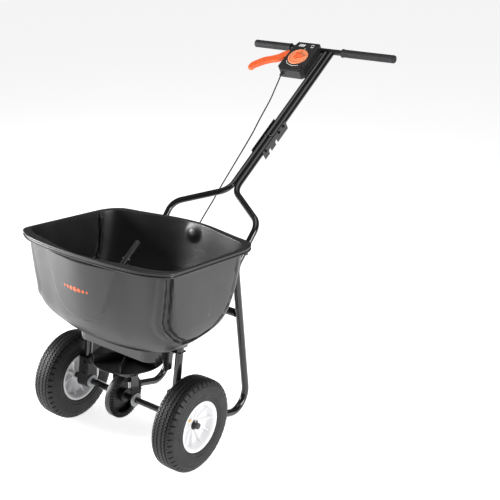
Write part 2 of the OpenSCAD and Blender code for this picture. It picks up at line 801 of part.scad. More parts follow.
module lever() {
    color(orange) in_handle() difference() {
        union() {
            translate([lever_pivot[0], lever_pivot[1], lever_low]) cylinder(r = 11, h = tongue_t);
            translate([-166, -64, lever_low]) cube([60, 22, tongue_t]);
            difference() {
                translate([0, 0, lever_thick_low]) linear_extrude(height = lever_t) lever_outline();
                translate([lever_pivot[0], lever_pivot[1], 0]) cylinder(r = 47, h = 40);
            }
        }
        translate([lever_pivot[0], lever_pivot[1], 0]) cylinder(r = 4 + run_gap, h = 40);
    }
}

module dial() {
    color(orange) in_handle() translate([dial_at[0], dial_at[1], 0]) {
        translate([0, 0, box_mid + 2]) cylinder(r = 6, h = box_top - box_mid);
        translate([0, 0, box_top + clear]) cylinder(r = dial_r, h = 7);
        translate([0, 0, box_top + 7]) cylinder(r = 15, h = 7);
        translate([-5, -8, box_top + 7]) cube([10, dial_r + 2, 7]);
    }
}

// Rubber sleeve where the cable leaves the box
module cable_boot() {
    a = handle_point(cable_exit[0], box_y0, cable_exit[1]);
    b = cable_route[0];
    d = norm(b - a);
    w = b - a;
    color(rubber) translate(a) rotate([0, acos(w[2] / d), atan2(w[1], w[0])])
        rotate_extrude() polygon([[0, -2], [3.9, -2], [3.9, 0], [7, 0], [6, d * 0.7], [4, d], [0, d]]);
}

// ---------- axle, gears, bracket ----------

module axle() {
    color(steel_grey) difference() {
        along_x(-axle_end, axle_end, axle_r, 0, axle_z);
        for (x = [-cotter_x, cotter_x]) translate([x, 0, axle_z - 20]) cylinder(r = 2, h = 40);
        for (side = [-1, 1]) on_side(side) difference() {
            along_x(groove_x, groove_x + 1.5, axle_r + 1, 0, axle_z);
            along_x(groove_x - 1, groove_x + 3, axle_r - 1, 0, axle_z);
        }
        for (x = [-26, half_track - 30]) translate([x, 0, axle_z - 20]) cylinder(r = 3, h = 40);
    }
}

// One face tooth, at the top of the gear, before it is turned round
module crown_tooth() {
    translate([0, 0, crown_pitch_r - face_w / 2 - 1.7]) linear_extrude(height = face_w + 3.4)
        polygon([[crown_root_x - 0.5, -1.7], [crown_root_x, -1.6], [crown_tip_x, -1],
            [crown_tip_x, 1], [crown_root_x, 1.6], [crown_root_x - 0.5, 1.7]]);
}

module drive_gear() {
    color(black) translate([0, 0, axle_z]) difference() {
        union() {
            along_x(crown_back_x, crown_back_x + 4, crown_out_r);
            along_x(crown_back_x, crown_back_x + 24, 22);
            difference() {
                along_x(crown_back_x, crown_root_x, crown_out_r);
                along_x(crown_back_x - 1, crown_root_x + 1, crown_out_r - 6);
            }
            difference() {
                along_x(crown_root_x - 4, crown_root_x, crown_out_r);
                along_x(crown_root_x - 5, crown_root_x + 1, 58);
            }
            for (i = [0 : crown_teeth - 1])
                rotate([(i + 0.5) * 360 / crown_teeth, 0, 0]) crown_tooth();
        }
        along_x(crown_back_x - 1, 0, axle_r);
        translate([crown_back_x + 12, 0, -40]) cylinder(r = 3, h = 80);
    }
}

// Pins that turn the gear and the right wheel with the axle
module drive_pins() {
    color(steel_grey) for (p = [[-26, 22], [half_track - 30, hub_r]])
        translate([p[0], 0, axle_z - p[1]]) cylinder(r = 3, h = 2 * p[1]);
}

module axle_washers() {
    inner = block_x0 + block_w + clear;
    color(black) translate([0, 0, axle_z]) for (side = [-1, 1]) on_side(side) difference() {
        union() {
            along_x(inner, hub_inner - clear, 26);
            along_x(hub_outer + clear, hub_outer + clear + washer_t, 16);
        }
        along_x(inner - 1, axle_end, axle_r);
    }
}

module cotter_pins() {
    color(steel_grey) for (x = [-cotter_x, cotter_x]) translate([x, 0, axle_z]) {
        translate([0, 0, -15]) cylinder(r = 2, h = 28);
        translate([0, 0, 15]) rotate([0, 90, 0]) rotate_extrude() translate([3, 0]) circle(r = 1);
    }
}

module gear_bracket() {
    low = axle_z - 22;
    arm_h = bracket_top - low;
    color(black) difference() {
        union() {
            translate([0, 0, bracket_top - 10]) cylinder(r = cap_r, h = 10);
            translate([bracket_left, -16, bracket_top - 6]) cube([-bracket_left, 32, 6]);
            for (x = [bracket_left, bracket_right])
                translate([x, -16, low]) cube([bracket_t, 32, arm_h - 5]);
        }
        translate([0, 0, bracket_top - 20]) cylinder(r = shaft_r + run_gap, h = 30);
        along_x(bracket_left - 1, bracket_right + 10, bush_r, 0, axle_z);
    }
}

module gear_bushes() {
    color(nylon_grey) translate([0, 0, axle_z]) difference() {
        union() {
            along_x(bracket_right, bracket_right + bracket_t + 4, bush_r);
            along_x(bracket_right + bracket_t, bracket_right + bracket_t + 4, 23);
            along_x(bracket_left - 4, bracket_left + bracket_t, bush_r);
            along_x(bracket_left - 4, bracket_left, 23);
        }
        along_x(bracket_left - 10, bracket_right + 20, axle_r + run_gap);
    }
}

// Flat bar that keeps the gear bracket from turning with the axle
module gear_strap() {
    right = bracket_left;
    color(black) difference() {
        union() {
            translate([-block_x0, -10, 222]) cube([block_x0 + right, 3, 22]);
            translate([right - 3, -10, 222]) cube([3, 24, 22]);
            translate([-block_x0 - 6, -14, 222]) cube([6, 7, 22]);
        }
        mirror([1, 0, 0]) post_bar(tube_r, 0);
        mirror([1, 0, 0]) translate([block_x0, -60, 100]) cube([60, 120, 200]);
    }
}

// ---------- wheels ----------

module rim_shape() {
    rotate_extrude() polygon([
        [well_r - 4, -rim_half_w + 4], [bead_r - 4, -rim_half_w], [flange_r - 2, -rim_half_w - 1],
        [flange_r, -rim_half_w + 1], [flange_r, -rim_half_w + 4], [bead_r, -rim_half_w + 5],
        [bead_r, -rim_half_w + 16], [well_r, -rim_half_w + 20],
        [well_r, rim_half_w - 20], [bead_r, rim_half_w - 16], [bead_r, rim_half_w - 5],
        [flange_r, rim_half_w - 4], [flange_r, rim_half_w - 1], [flange_r - 2, rim_half_w + 1],
        [bead_r - 4, rim_half_w], [well_r - 4, rim_half_w - 4]]);
}

module rim(side, bore) {
    color(nylon_white) on_side(side) difference() {
        union() {
            translate([half_track, 0, axle_z]) rotate([0, 90, 0]) {
                rim_shape();
                translate([0, 0, -4]) cylinder(r = well_r - 3, h = 8);
                for (i = [0 : rib_count - 1]) rotate([0, 0, (i + 0.5) * 360 / rib_count])
                    translate([hub_r - 2, -2.5, -24]) cube([well_r - hub_r, 5, 24 + hub_outer - half_track]);
            }
            along_x(hub_inner, hub_outer, hub_r, 0, axle_z);
        }
        along_x(hub_inner - 1, hub_outer + 1, bore, 0, axle_z);
        valve_place() cylinder(r = 4, h = 60, center = true);
        if (side > 0) translate([half_track - 30, 0, axle_z - 40]) cylinder(r = 3, h = 80);
    }
}

module valve_place() {
    translate([half_track, 0, axle_z]) rotate([valve_angle, 0, 0])
        translate([0, valve_r, 0]) rotate([0, 90, 0]) children();
}

module valve(side) {
    color(brass) on_side(side) valve_place() {
        translate([0, 0, -4]) cylinder(r = 4, h = 8);
        translate([0, 0, 4]) cylinder(r = 3, h = 18);
        translate([0, 0, 22]) cylinder(r = 3.8, h = 8);
    }
}

module tyre(side) {
    half = tyre_w / 2;
    color(rubber) on_side(side) translate([half_track, 0, axle_z]) rotate([0, 90, 0])
        rotate_extrude() difference() {
            polygon(concat(
                [[bead_r, -rim_half_w + 6], [flange_r + 0.3, -rim_half_w + 4],
                 [flange_r + 0.3, -rim_half_w - 0.5], [flange_r + 8, -half + 0.5]],
                [for (a = [-90 : 15 : -15]) [wheel_r - 30 + 24 * cos(a), half * sin(a)]],
                [[wheel_r - 3, -30], [wheel_r, -20], [wheel_r, 20], [wheel_r - 3, 30]],
                [for (a = [15 : 15 : 90]) [wheel_r - 30 + 24 * cos(a), half * sin(a)]],
                [[flange_r + 8, half - 0.5], [flange_r + 0.3, rim_half_w + 0.5],
                 [flange_r + 0.3, rim_half_w - 4], [bead_r, rim_half_w - 6],
                 [bead_r, rim_half_w - 15], [flange_r + 10, rim_half_w - 6],
                 [wheel_r - 24, half - 8], [wheel_r - 10, 18], [wheel_r - 10, -18],
                 [wheel_r - 24, -half + 8], [flange_r + 10, -rim_half_w + 6],
                 [bead_r, -rim_half_w + 15]]));
        }
}

// ---------- impeller ----------

module impeller_shaft() {
    color(steel_grey) difference() {
        translate([0, 0, axle_z + 36]) cylinder(r = shaft_r, h = rod_z + shaft_into - axle_z - 36);
        along_x(-20, 20, 2.5, 0, rod_z);
    }
}

module pinion() {
    low = axle_z + crown_pitch_r - face_w / 2;
    color(black) translate([0, 0, low]) difference() {
        union() {
            cylinder(r = pinion_root_r, h = face_w);
            translate([0, 0, face_w]) cylinder(r = 10, h = 6);
            for (i = [0 : pinion_teeth - 1]) rotate([0, 0, 180 + i * 360 / pinion_teeth])
                linear_extrude(height = face_w)
                    polygon([[pinion_root_r - 1, -2.1], [pinion_pitch_r, -1.5], [pinion_tip_r, -0.8],
                        [pinion_tip_r, 0.8], [pinion_pitch_r, 1.5], [pinion_root_r - 1, 2.1]]);
        }
        translate([0, 0, -1]) cylinder(r = shaft_r, h = 40);
    }
}

module impeller_disc() {
    color(black) translate([0, 0, disc_z]) difference() {
        union() {
            cylinder(r = disc_r, h = 3);
            translate([0, 0, -14]) cylinder(r = 16, h = 46);
            for (a = [0 : 60 : 300]) rotate([0, 0, a]) translate([14, -1.5, 0]) cube([disc_r - 18, 3, 28]);
        }
        translate([0, 0, -20]) cylinder(r = shaft_r, h = 60);
    }
}

// The rod's crossing stands on the shaft's top end
module stirring_rod() {
    color(black) difference() {
        translate([0, 0, rod_z]) rotate([rod_rise, 0, 0]) rotate([-90, 0, 0])
            cylinder(r = rod_r, h = rod_len, center = true);
        translate([0, 0, rod_z - 40]) cylinder(r = shaft_r, h = 40 + shaft_into);
        along_x(-20, 20, 2.5, 0, rod_z);
    }
}

module rod_bolt() {
    color(steel_grey) bolt_along_x(-rod_r, rod_r, 0, rod_z, 2.5);
}

hopper();
hopper_bolts();
support_tray();
gate_guides();
shaft_bush();
post(-1);  // post_left
post(1);  // post_right
bearing_block(-1);  // bearing_block_left
bearing_block(1);  // bearing_block_right
block_screws();
axle_bush(-1);  // axle_bush_left
axle_bush(1);  // axle_bush_right
leg(-1);  // leg_left
leg(1);  // leg_right
rear_cross_tube();
rail_straps();
lower_handle(-1);  // lower_handle_left
lower_handle(1);  // lower_handle_right
frame_bolts();
upper_handle(-1);  // upper_handle_left
upper_handle(1);  // upper_handle_right
splice_plate(-1);  // splice_plate_left
splice_plate(1);  // splice_plate_right
splice_bolts();
crossbar();
grip(-bar_left, -174);  // grip_left
grip(bar_right, 55);  // grip_right
control_base();
control_cover();
control_screws();
lever_pin();
cable_boot();
control_cable();
cable_clip();
cable_ferrule();
gear_bracket();
gear_bushes();
gear_strap();
axle();
drive_gear();
drive_pins();
axle_washers();
cotter_pins();
rim(1, axle_r);  // rim_right
tyre(1);  // tyre_right
valve(1);  // valve_right
rim(-1, axle_r + run_gap);  // rim_left
tyre(-1);  // tyre_left
valve(-1);  // valve_left
impeller_shaft();
pinion();
impeller_disc();
stirring_rod();
rod_bolt();
lever();
gate_plate();
gate_wire();
dial();
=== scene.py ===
"""Walk-behind broadcast spreader: its looks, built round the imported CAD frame.

Lengths are in millimetres in the CAD's own frame until a mesh is made; Blender gets metres.
"""
import json
import math

import bmesh
import bpy
from mathutils import Matrix, Vector
from mathutils.bvhtree import BVHTree


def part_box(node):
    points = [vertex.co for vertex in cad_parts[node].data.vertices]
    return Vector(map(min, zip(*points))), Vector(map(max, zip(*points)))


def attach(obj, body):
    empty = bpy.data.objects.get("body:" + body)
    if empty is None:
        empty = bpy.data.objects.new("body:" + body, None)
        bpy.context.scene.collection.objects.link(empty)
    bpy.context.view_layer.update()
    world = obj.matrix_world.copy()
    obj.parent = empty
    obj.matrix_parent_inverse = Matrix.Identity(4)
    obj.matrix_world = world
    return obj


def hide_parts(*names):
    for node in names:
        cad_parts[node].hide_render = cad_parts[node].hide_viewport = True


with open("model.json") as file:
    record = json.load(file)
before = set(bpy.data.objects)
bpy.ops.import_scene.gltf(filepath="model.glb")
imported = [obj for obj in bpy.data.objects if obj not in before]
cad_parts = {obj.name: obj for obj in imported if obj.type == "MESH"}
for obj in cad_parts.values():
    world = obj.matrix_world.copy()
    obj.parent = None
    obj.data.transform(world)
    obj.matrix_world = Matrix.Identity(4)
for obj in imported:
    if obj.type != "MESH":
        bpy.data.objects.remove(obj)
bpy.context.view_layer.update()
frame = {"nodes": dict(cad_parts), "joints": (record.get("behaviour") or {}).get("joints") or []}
scene = bpy.context.scene
MM = 0.001
TAU = 2 * math.pi
WELD = 2e-6                         # metres: points closer than this are one
X, Y, Z = Vector((1, 0, 0)), Vector((0, 1, 0)), Vector((0, 0, 1))


# ---------- places that come from the frame ----------

def box_mm(node):
    low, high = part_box(node)
    return low / MM, high / MM


def joint_named(name):
    return next(j for j in frame["joints"] if j["name"] == name)


tyre_low, tyre_high = box_mm("tyre_right")
wheel_r = (tyre_high.z - tyre_low.z) / 2
axle_z = tyre_low.z + wheel_r
half_track = (tyre_low.x + tyre_high.x) / 2
bar_low, bar_high = box_mm("crossbar")
bar_at = Vector((0, (bar_low.y + bar_high.y) / 2, (bar_low.z + bar_high.z) / 2))
handle_up = -Vector(joint_named("lever_squeeze")["axis"]).normalized()
handle_along = Vector((0, handle_up.z, -handle_up.y))
HANDLE = Matrix.Translation(bar_at) @ Matrix((X, handle_along, handle_up)).transposed().to_4x4()


# ---------- camera, floor and light ----------

CAMERA_AT = (1.8413, -1.9539, 1.6694)
CAMERA_AZIMUTH, CAMERA_ELEVATION, CAMERA_ROLL = 37.939, 20.789, 0.634
LENS = 66.69
SHIFT = (0.085, 0.009)


def make_camera():
    a, e, r = (math.radians(x) for x in (CAMERA_AZIMUTH, CAMERA_ELEVATION, CAMERA_ROLL))
    back = Vector((math.sin(a) * math.cos(e), -math.cos(a) * math.cos(e), math.sin(e)))
    right = Vector((math.cos(a), math.sin(a), 0))
    up = back.cross(right)
    across = right * math.cos(r) + up * math.sin(r)
    upward = up * math.cos(r) - right * math.sin(r)
    data = bpy.data.cameras.new("camera")
    data.sensor_width = 36
    data.lens = LENS
    data.shift_x, data.shift_y = SHIFT
    camera = bpy.data.objects.new("camera", data)
    camera.matrix_world = (Matrix.Translation(CAMERA_AT)
                           @ Matrix((across, upward, back)).transposed().to_4x4())
    scene.collection.objects.link(camera)
    scene.camera = camera


def area_light(name, at, aim, size, power):
    data = bpy.data.lights.new(name, "AREA")
    data.shape = "RECTANGLE"
    data.size, data.size_y = size
    data.energy = power
    light = bpy.data.objects.new(name, data)
    light.location = at
    light.rotation_mode = "QUATERNION"
    light.rotation_quaternion = (Vector(aim) - Vector(at)).to_track_quat("-Z", "Y")
    scene.collection.objects.link(light)


def make_studio():
    world = bpy.data.worlds.new("studio")
    world.use_nodes = True
    tree = world.node_tree
    fill = tree.nodes["Background"]
    fill.inputs["Strength"].default_value = 0.12
    backdrop = node(tree, "ShaderNodeBackground")
    for sky in (fill, backdrop):
        sky.inputs["Color"].default_value = (1, 1, 1, 1)
    mix = node(tree, "ShaderNodeMixShader")
    seen = node(tree, "ShaderNodeLightPath")
    tree.links.new(seen.outputs["Is Camera Ray"], mix.inputs["Fac"])
    tree.links.new(fill.outputs["Background"], mix.inputs[1])
    tree.links.new(backdrop.outputs["Background"], mix.inputs[2])
    tree.links.new(mix.outputs["Shader"], tree.nodes["World Output"].inputs["Surface"])
    scene.world = world
    scene.view_settings.view_transform = "Standard"
    aim = (0, 0.3, 0.5)
    area_light("key_left", (-2.6, -1.3, 1.15), aim, (0.9, 1.8), 150)
    area_light("side_right", (2.9, 0.4, 1.2), aim, (0.6, 1.8), 60)
    area_light("top", (0.1, 0.6, 3.2), aim, (2.4, 1.8), 22)
    bpy.ops.mesh.primitive_plane_add(size=60, location=(0, 0, -0.0005))
    floor = bpy.context.object
    floor.name = "floor"
    white = material("studio_floor", (0.90, 0.90, 0.90), 0.95, specular=0.1)
    glow = white.node_tree.nodes["Principled BSDF"]
    glow.inputs["Emission Color"].default_value = (1, 1, 1, 1)
    glow.inputs["Emission Strength"].default_value = 0.80
    floor.data.materials.append(white)


# ---------- materials ----------

def node(tree, kind, **values):
    made = tree.nodes.new(kind)
    for key, value in values.items():
        setattr(made, key, value)
    return made


def material(name, colour, rough, metal=0.0, grain=None, tint=0.0, rough_spread=0.0, coat=0.0,
             coat_rough=0.1, stretch=(1, 1, 1), specular=0.5, patch=14.0):
    """A finish from nodes. grain is a list of (scale, height in mm) bump layers, tint is how much
    the colour varies, and patch is how many soft patches there are to a metre."""
    made = bpy.data.materials.new(name)
    made.use_nodes = True
    tree = made.node_tree
    shader = tree.nodes["Principled BSDF"]
    link = tree.links.new
    shader.inputs["Base Color"].default_value = (*colour, 1)
    shader.inputs["Roughness"].default_value = rough
    shader.inputs["Metallic"].default_value = metal
    shader.inputs["Specular IOR Level"].default_value = specular
    shader.inputs["Coat Weight"].default_value = coat
    shader.inputs["Coat Roughness"].default_value = coat_rough
    place = node(tree, "ShaderNodeTexCoord")
    mapping = node(tree, "ShaderNodeMapping")
    mapping.inputs["Scale"].default_value = stretch
    link(place.outputs["Object"], mapping.inputs["Vector"])
    if tint or rough_spread:
        cloud = node(tree, "ShaderNodeTexNoise")
        cloud.inputs["Scale"].default_value = patch
        cloud.inputs["Detail"].default_value = 6
        cloud.inputs["Roughness"].default_value = 0.62
        link(mapping.outputs["Vector"], cloud.inputs["Vector"])
    if tint:
        mix = node(tree, "ShaderNodeMix", data_type="RGBA")
        mix.inputs["A"].default_value = (*[c * (1 - tint) for c in colour], 1)
        mix.inputs["B"].default_value = (*[min(1, c * (1 + tint) + 0.01 * tint) for c in colour], 1)
        link(cloud.outputs["Fac"], mix.inputs["Factor"])
        link(mix.outputs["Result"], shader.inputs["Base Color"])
    if rough_spread:
        spread = node(tree, "ShaderNodeMapRange")
        spread.inputs["From Min"].default_value = 0.3
        spread.inputs["From Max"].default_value = 0.7
        spread.inputs["To Min"].default_value = max(0.02, rough - rough_spread)
        spread.inputs["To Max"].default_value = min(1.0, rough + rough_spread)
        link(cloud.outputs["Fac"], spread.inputs["Value"])
        link(spread.outputs["Result"], shader.inputs["Roughness"])
    normal = None
    for scale, height in grain or []:
        noise = node(tree, "ShaderNodeTexNoise")
        noise.inputs["Scale"].default_value = scale
        noise.inputs["Detail"].default_value = 3
        link(mapping.outputs["Vector"], noise.inputs["Vector"])
        bump = node(tree, "ShaderNodeBump")
        bump.inputs["Strength"].default_value = 0.6
        bump.inputs["Distance"].default_value = height * MM
        link(noise.outputs["Fac"], bump.inputs["Height"])
        if normal:
            link(normal, bump.inputs["Normal"])
        normal = bump.outputs["Normal"]
    if normal:
        link(normal, shader.inputs["Normal"])
    return made


FINISH = {
    "hopper_plastic": material("hopper_plastic", (0.017, 0.017, 0.018), 0.40, tint=0.10,
                               rough_spread=0.05, grain=[(900, 0.25), (170, 0.12)], specular=0.62),
    "black_enamel": material("black_enamel", (0.006, 0.006, 0.0065), 0.19, tint=0.25,
                             rough_spread=0.05, coat=0.4, coat_rough=0.06,
                             grain=[(480, 0.008)]),
    "nylon": material("nylon", (0.50, 0.51, 0.52), 0.34, tint=0.05, rough_spread=0.06,
                      grain=[(700, 0.1)]),
    "zinc_steel": material("zinc_steel", (0.62, 0.62, 0.61), 0.30, metal=1.0, tint=0.12,
                           rough_spread=0.1, grain=[(420, 0.06)], patch=60),
    "axle_steel": material("axle_steel", (0.05, 0.05, 0.052), 0.20, metal=0.7, tint=0.2,
                           rough_spread=0.08, grain=[(900, 0.03)], stretch=(0.12, 1, 1), patch=70),
    "black_plastic": material("black_plastic", (0.009, 0.009, 0.010), 0.42, tint=0.2,
                              rough_spread=0.07, grain=[(1150, 0.35)]),
    "grip_rubber": material("grip_rubber", (0.016, 0.0155, 0.018), 0.58, tint=0.2,
                            rough_spread=0.08, grain=[(1500, 0.3), (220, 0.1)], specular=0.35),
    "cable_sheath": material("cable_sheath", (0.016, 0.016, 0.017), 0.4, tint=0.2,
                             grain=[(500, 0.08)]),
    "rim_white": material("rim_white", (0.86, 0.86, 0.87), 0.34, tint=0.03, rough_spread=0.06,
                          grain=[(600, 0.08)], coat=0.2),
    "tyre_rubber": material("tyre_rubber", (0.0075, 0.0074, 0.0085), 0.52, tint=0.28,
                            rough_spread=0.1, grain=[(1300, 0.35), (330, 0.6)], specular=0.42,
                            patch=22),
    "valve_brass": material("valve_brass", (0.86, 0.58, 0.24), 0.24, metal=1.0, tint=0.12,
                            rough_spread=0.08, grain=[(500, 0.05)], patch=90),
    "orange_plastic": material("orange_plastic", (0.92, 0.135, 0.028), 0.40, tint=0.06,
                               rough_spread=0.06, grain=[(900, 0.12)]),
    "orange_dial": material("orange_dial", (0.93, 0.30, 0.13), 0.44, tint=0.05,
                            rough_spread=0.05, grain=[(1100, 0.12)]),
}
PRINT_CREAM = material("print_cream", (0.85, 0.74, 0.52), 0.5, tint=0.05, grain=[(1200, 0.05)])


# ---------- mesh tools ----------

def join(*parts):
    """Several (points, faces) as one."""
    points, faces = [], []
    for more_points, more_faces in parts:
        start = len(points)
        points.extend(more_points)
        faces.extend([tuple(i + start for i in f) for f in more_faces])
    return points, faces


def moved(part, matrix):
    return [matrix @ Vector(p) for p in part[0]], part[1]


def mirrored(part):
    return [Vector((-p[0], p[1], p[2])) for p in part[0]], [tuple(reversed(f)) for f in part[1]]


def loft(rings, caps=True, wrap=False):
    """A skin through closed rings of equal length. wrap joins the last ring to the first."""
    n = len(rings[0])
    points = [p for ring in rings for p in ring]
    pairs = [(k, k + 1) for k in range(len(rings) - 1)]
    if wrap:
        pairs.append((len(rings) - 1, 0))
    faces = [(a * n + i, a * n + (i + 1) % n, b * n + (i + 1) % n, b * n + i)
             for a, b in pairs for i in range(n)]
    if caps and not wrap:
        faces.append(tuple(reversed(range(n))))
        faces.append(tuple(range((len(rings) - 1) * n, len(rings) * n)))
    return points, faces


def lathe(profile, turns=64, matrix=None, wrap=False):
    """A profile of (radius, height) turned about Z. A radius of zero closes an end."""
    rings = [[Vector((max(r, 0.001) * math.cos(TAU * i / turns),
                      max(r, 0.001) * math.sin(TAU * i / turns), h)) for i in range(turns)]
             for r, h in profile]
    part = loft(rings, caps=not wrap, wrap=wrap)
    return moved(part, matrix) if matrix else part


def rounded(profile, r, steps=4):
    """An open profile with its inner corners rounded by r."""
    points = [Vector(p) for p in profile]
    out = [points[0]]
    for a, b, c in zip(points, points[1:], points[2:]):
        reach = min(r, (a - b).length * 0.45, (c - b).length * 0.45)
        start, end = b + (a - b).normalized() * reach, b + (c - b).normalized() * reach
        for k in range(steps + 1):
            t = k / steps
            out.append(start * (1 - t) ** 2 + b * 2 * t * (1 - t) + end * t * t)
    out.append(points[-1])
    return [tuple(p) for p in out]


def along_x(at=(0, 0, 0)):
    """Turns +Z to +X, for shapes that are turned about an axle."""
    return Matrix.Translation(at) @ Matrix.Rotation(math.pi / 2, 4, "Y")


def bent_path(points, radii, step=7.0):
    """Points along straights and true arcs; radii holds the bend radius at each inner point."""
    points = [Vector(p) for p in points]
    out = [points[0]]
    for (a, b, c), radius in zip(zip(points, points[1:], points[2:]), radii):
        before, after = (b - a).normalized(), (c - b).normalized()
        turn = before.angle(after)
        start = b - before * radius * math.tan(turn / 2)
        centre = b + (after - before).normalized() * radius / math.cos(turn / 2)
        axis = before.cross(after).normalized()
        steps = max(3, round(math.degrees(turn) / step))
        for k in range(steps + 1):
            out.append(centre + Matrix.Rotation(turn * k / steps, 3, axis) @ (start - centre))
    out.append(points[-1])
    return out


def smooth_path(points, steps):
    """A Catmull-Rom curve through points."""
    p = [Vector(q) for q in points]
    out = []
    for i in range(len(p) - 1):
        a, b, c, d = p[max(i - 1, 0)], p[i], p[i + 1], p[min(i + 2, len(p) - 1)]
        for k in range(steps):
            t = k / steps
            out.append(0.5 * (2 * b + (c - a) * t + (2 * a - 5 * b + 4 * c - d) * t * t
                              + (3 * b - a - 3 * c + d) * t ** 3))
    out.append(p[-1])
    return out


def directions(path):
    return [(path[min(i + 1, len(path) - 1)] - path[max(i - 1, 0)]).normalized()
            for i in range(len(path))]


def sweep_frames(path):
    """Two cross directions at each point of a path, carried along it without twist."""
    ways = directions(path)
    side = ways[0].orthogonal().normalized()
    out = []
    for k, way in enumerate(ways):
        if k:
            side = ways[k - 1].rotation_difference(way) @ side
        side = (side - way * side.dot(way)).normalized()
        out.append((side, way.cross(side), way))
    return out


def tube(path, radius, wall, sides=40):
    """A hollow tube along a path, its two end rims rounded off."""
    frames = sweep_frames(path)
    edge = wall * 0.3

    def ring(k, r, push=0.0):
        side, other, way = frames[k]
        return [path[k] + way * push + r * (side * math.cos(TAU * i / sides)
                + other * math.sin(TAU * i / sides)) for i in range(sides)]

    last = len(path) - 1
    outside = [ring(0, radius - edge), ring(0, radius, edge)]
    outside += [ring(k, radius) for k in range(1, last)]
    outside += [ring(last, radius, -edge), ring(last, radius - edge)]
    inner = radius - wall
    inside = [ring(last, inner + edge), ring(last, inner, -edge)]
    inside += [ring(k, inner) for k in range(last - 1, 0, -1)]
    inside += [ring(0, inner, edge), ring(0, inner + edge)]
    return loft(outside + inside, wrap=True)


def slab(outline, low, high, edge=1.0, steps=3):
    """An outline in XY, made a plate from low to high with rounded edges."""
    flat = [Vector(p) for p in outline]
    n = len(flat)

    def inset(amount):
        out = []
        for i, p in enumerate(flat):
            before, after = (p - flat[i - 1]).normalized(), (flat[(i + 1) % n] - p).normalized()
            inward = Vector((-before.y - after.y, before.x + after.x))
            size = inward.length_squared
            out.append(p + inward * (2 * amount / size if size > 0.4 else 0))
        return out

    quarter = [math.pi / 2 * k / steps for k in range(steps + 1)]
    levels = [(edge * (1 - math.sin(a)), low + edge * (1 - math.cos(a))) for a in quarter]
    levels += [(edge * (1 - math.cos(a)), high - edge * (1 - math.sin(a))) for a in quarter]
    return loft([[Vector((p.x, p.y, z)) for p in inset(amount)] for amount, z in levels])


def arc(centre, radius, start, end, steps):
    """Points on an arc in XY, angles in degrees."""
    return [(centre[0] + radius * math.cos(math.radians(start + (end - start) * k / steps)),
             centre[1] + radius * math.sin(math.radians(start + (end - start) * k / steps)))
            for k in range(steps + 1)]


def mesh_of(name, part):
    """A closed mesh in metres from points in millimetres, its normals outwards."""
    mesh = bpy.data.meshes.new(name)
    mesh.from_pydata([Vector(p) * MM for p in part[0]], [], part[1])
    work = bmesh.new()
    work.from_mesh(mesh)
    bmesh.ops.remove_doubles(work, verts=work.verts, dist=WELD)
    bmesh.ops.recalc_face_normals(work, faces=work.faces)
    work.to_mesh(mesh)
    work.free()
    return mesh


def add(name, part, finish, body, stands_for=(), crease=35):
    """Makes a piece from points in millimetres. finish is a slot's name or a material."""
    mesh = mesh_of(name, part)
    mesh.shade_smooth()
    mesh.set_sharp_from_angle(angle=math.radians(crease))
    piece = bpy.data.objects.new(name, mesh)
    scene.collection.objects.link(piece)
    is_slot = isinstance(finish, str)
    mesh.materials.append(FINISH[finish] if is_slot else finish)
    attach(piece, body)
    if stands_for:
        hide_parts(*stands_for)
    return piece


def cut(piece, *parts):
    """Takes closed shapes out of a piece."""
    for part in parts:
        cutter = bpy.data.objects.new("cutter", mesh_of("cutter", part))
        scene.collection.objects.link(cutter)
        change = piece.modifiers.new("cut", "BOOLEAN")
        change.operation, change.solver, change.object = "DIFFERENCE", "EXACT", cutter
        graph = bpy.context.evaluated_depsgraph_get()
        result = bpy.data.meshes.new_from_object(piece.evaluated_get(graph))
        piece.modifiers.clear()
        old, piece.data = piece.data, result
        bpy.data.meshes.remove(old)
        bpy.data.objects.remove(cutter)
    piece.data.set_sharp_from_angle(angle=math.radians(35))
    return piece


def keep(finish, *names, edge=0.5):
    """CAD nodes that stay: a finish, and edges that a real part has rounded off."""
    for name in names:
        part = frame["nodes"][name]
        for place in part.material_slots:
            place.material = FINISH[finish]
        weld = part.modifiers.new("weld", "WELD")
        weld.merge_threshold = WELD
        if edge:
            bevel = part.modifiers.new("edge", "BEVEL")
            bevel.width = edge * MM
            bevel.segments = 2
            bevel.limit_method = "ANGLE"
            bevel.angle_limit = math.radians(40)
            bevel.harden_normals = False


# ---------- hopper ----------

HOPPER_MIDDLE = Vector((0, 60))
RIM_Z, RIM_TILT = 699, 0.075
FLOOR_Z, TRAY_TOP = 400, 398
WALL = 4
FLANGE_PROFILE = [(8, 0), (8, 2.2), (7.2, 3), (1, 3.4)]     # outwards, up from the tray
HOPPER_COLUMNS = 230                # along each half
HOPPER_STEPS = 14                   # rings between two levels
PORTS, PORT_Y, PORT_R, PORT_HALF = (-34, 34), -50, 10, 12
# Right half of the wall's outside at the rim and of the lip's outer edge, front middle to back
WALL_LINE = [(0, -210), (94, -197), (168, -177), (231, -162), (260, -150), (283, -135),
             (298, -111), (302, -60), (301, 0), (299, 60), (296, 150), (292, 190), (285, 216),
             (269, 241), (236, 259), (160, 284), (71, 314), (0, 323)]
LIP_LINE = [(0, -214.5), (60, -213.5), (121, -210), (197, -200), (238, -189), (265, -175),
            (286, -162), (299, -149), (306, -134), (308, -90), (308, 0), (308, 100), (308, 190),
            (304, 222), (296, 246), (282, 268), (260, 283), (200, 297), (127, 317), (71, 331),
            (0, 338)]
BASE_HALF, BASE_SQUARE = (205, 104), 2.4
# Share of the height, then how far the side, the front and the back have opened out
LEVELS = [(0.0, 0.0, 0.0, 0.0), (0.02, 0.10, 0.10, 0.07), (0.05, 0.32, 0.27, 0.20),
          (0.10, 0.57, 0.46, 0.33), (0.19, 0.81, 0.64, 0.50), (0.31, 0.91, 0.78, 0.66),
          (0.48, 0.95, 0.87, 0.80), (0.68, 0.97, 0.93, 0.90), (0.89, 0.99, 0.98, 0.97),
          (1.0, 1.0, 1.0, 1.0)]
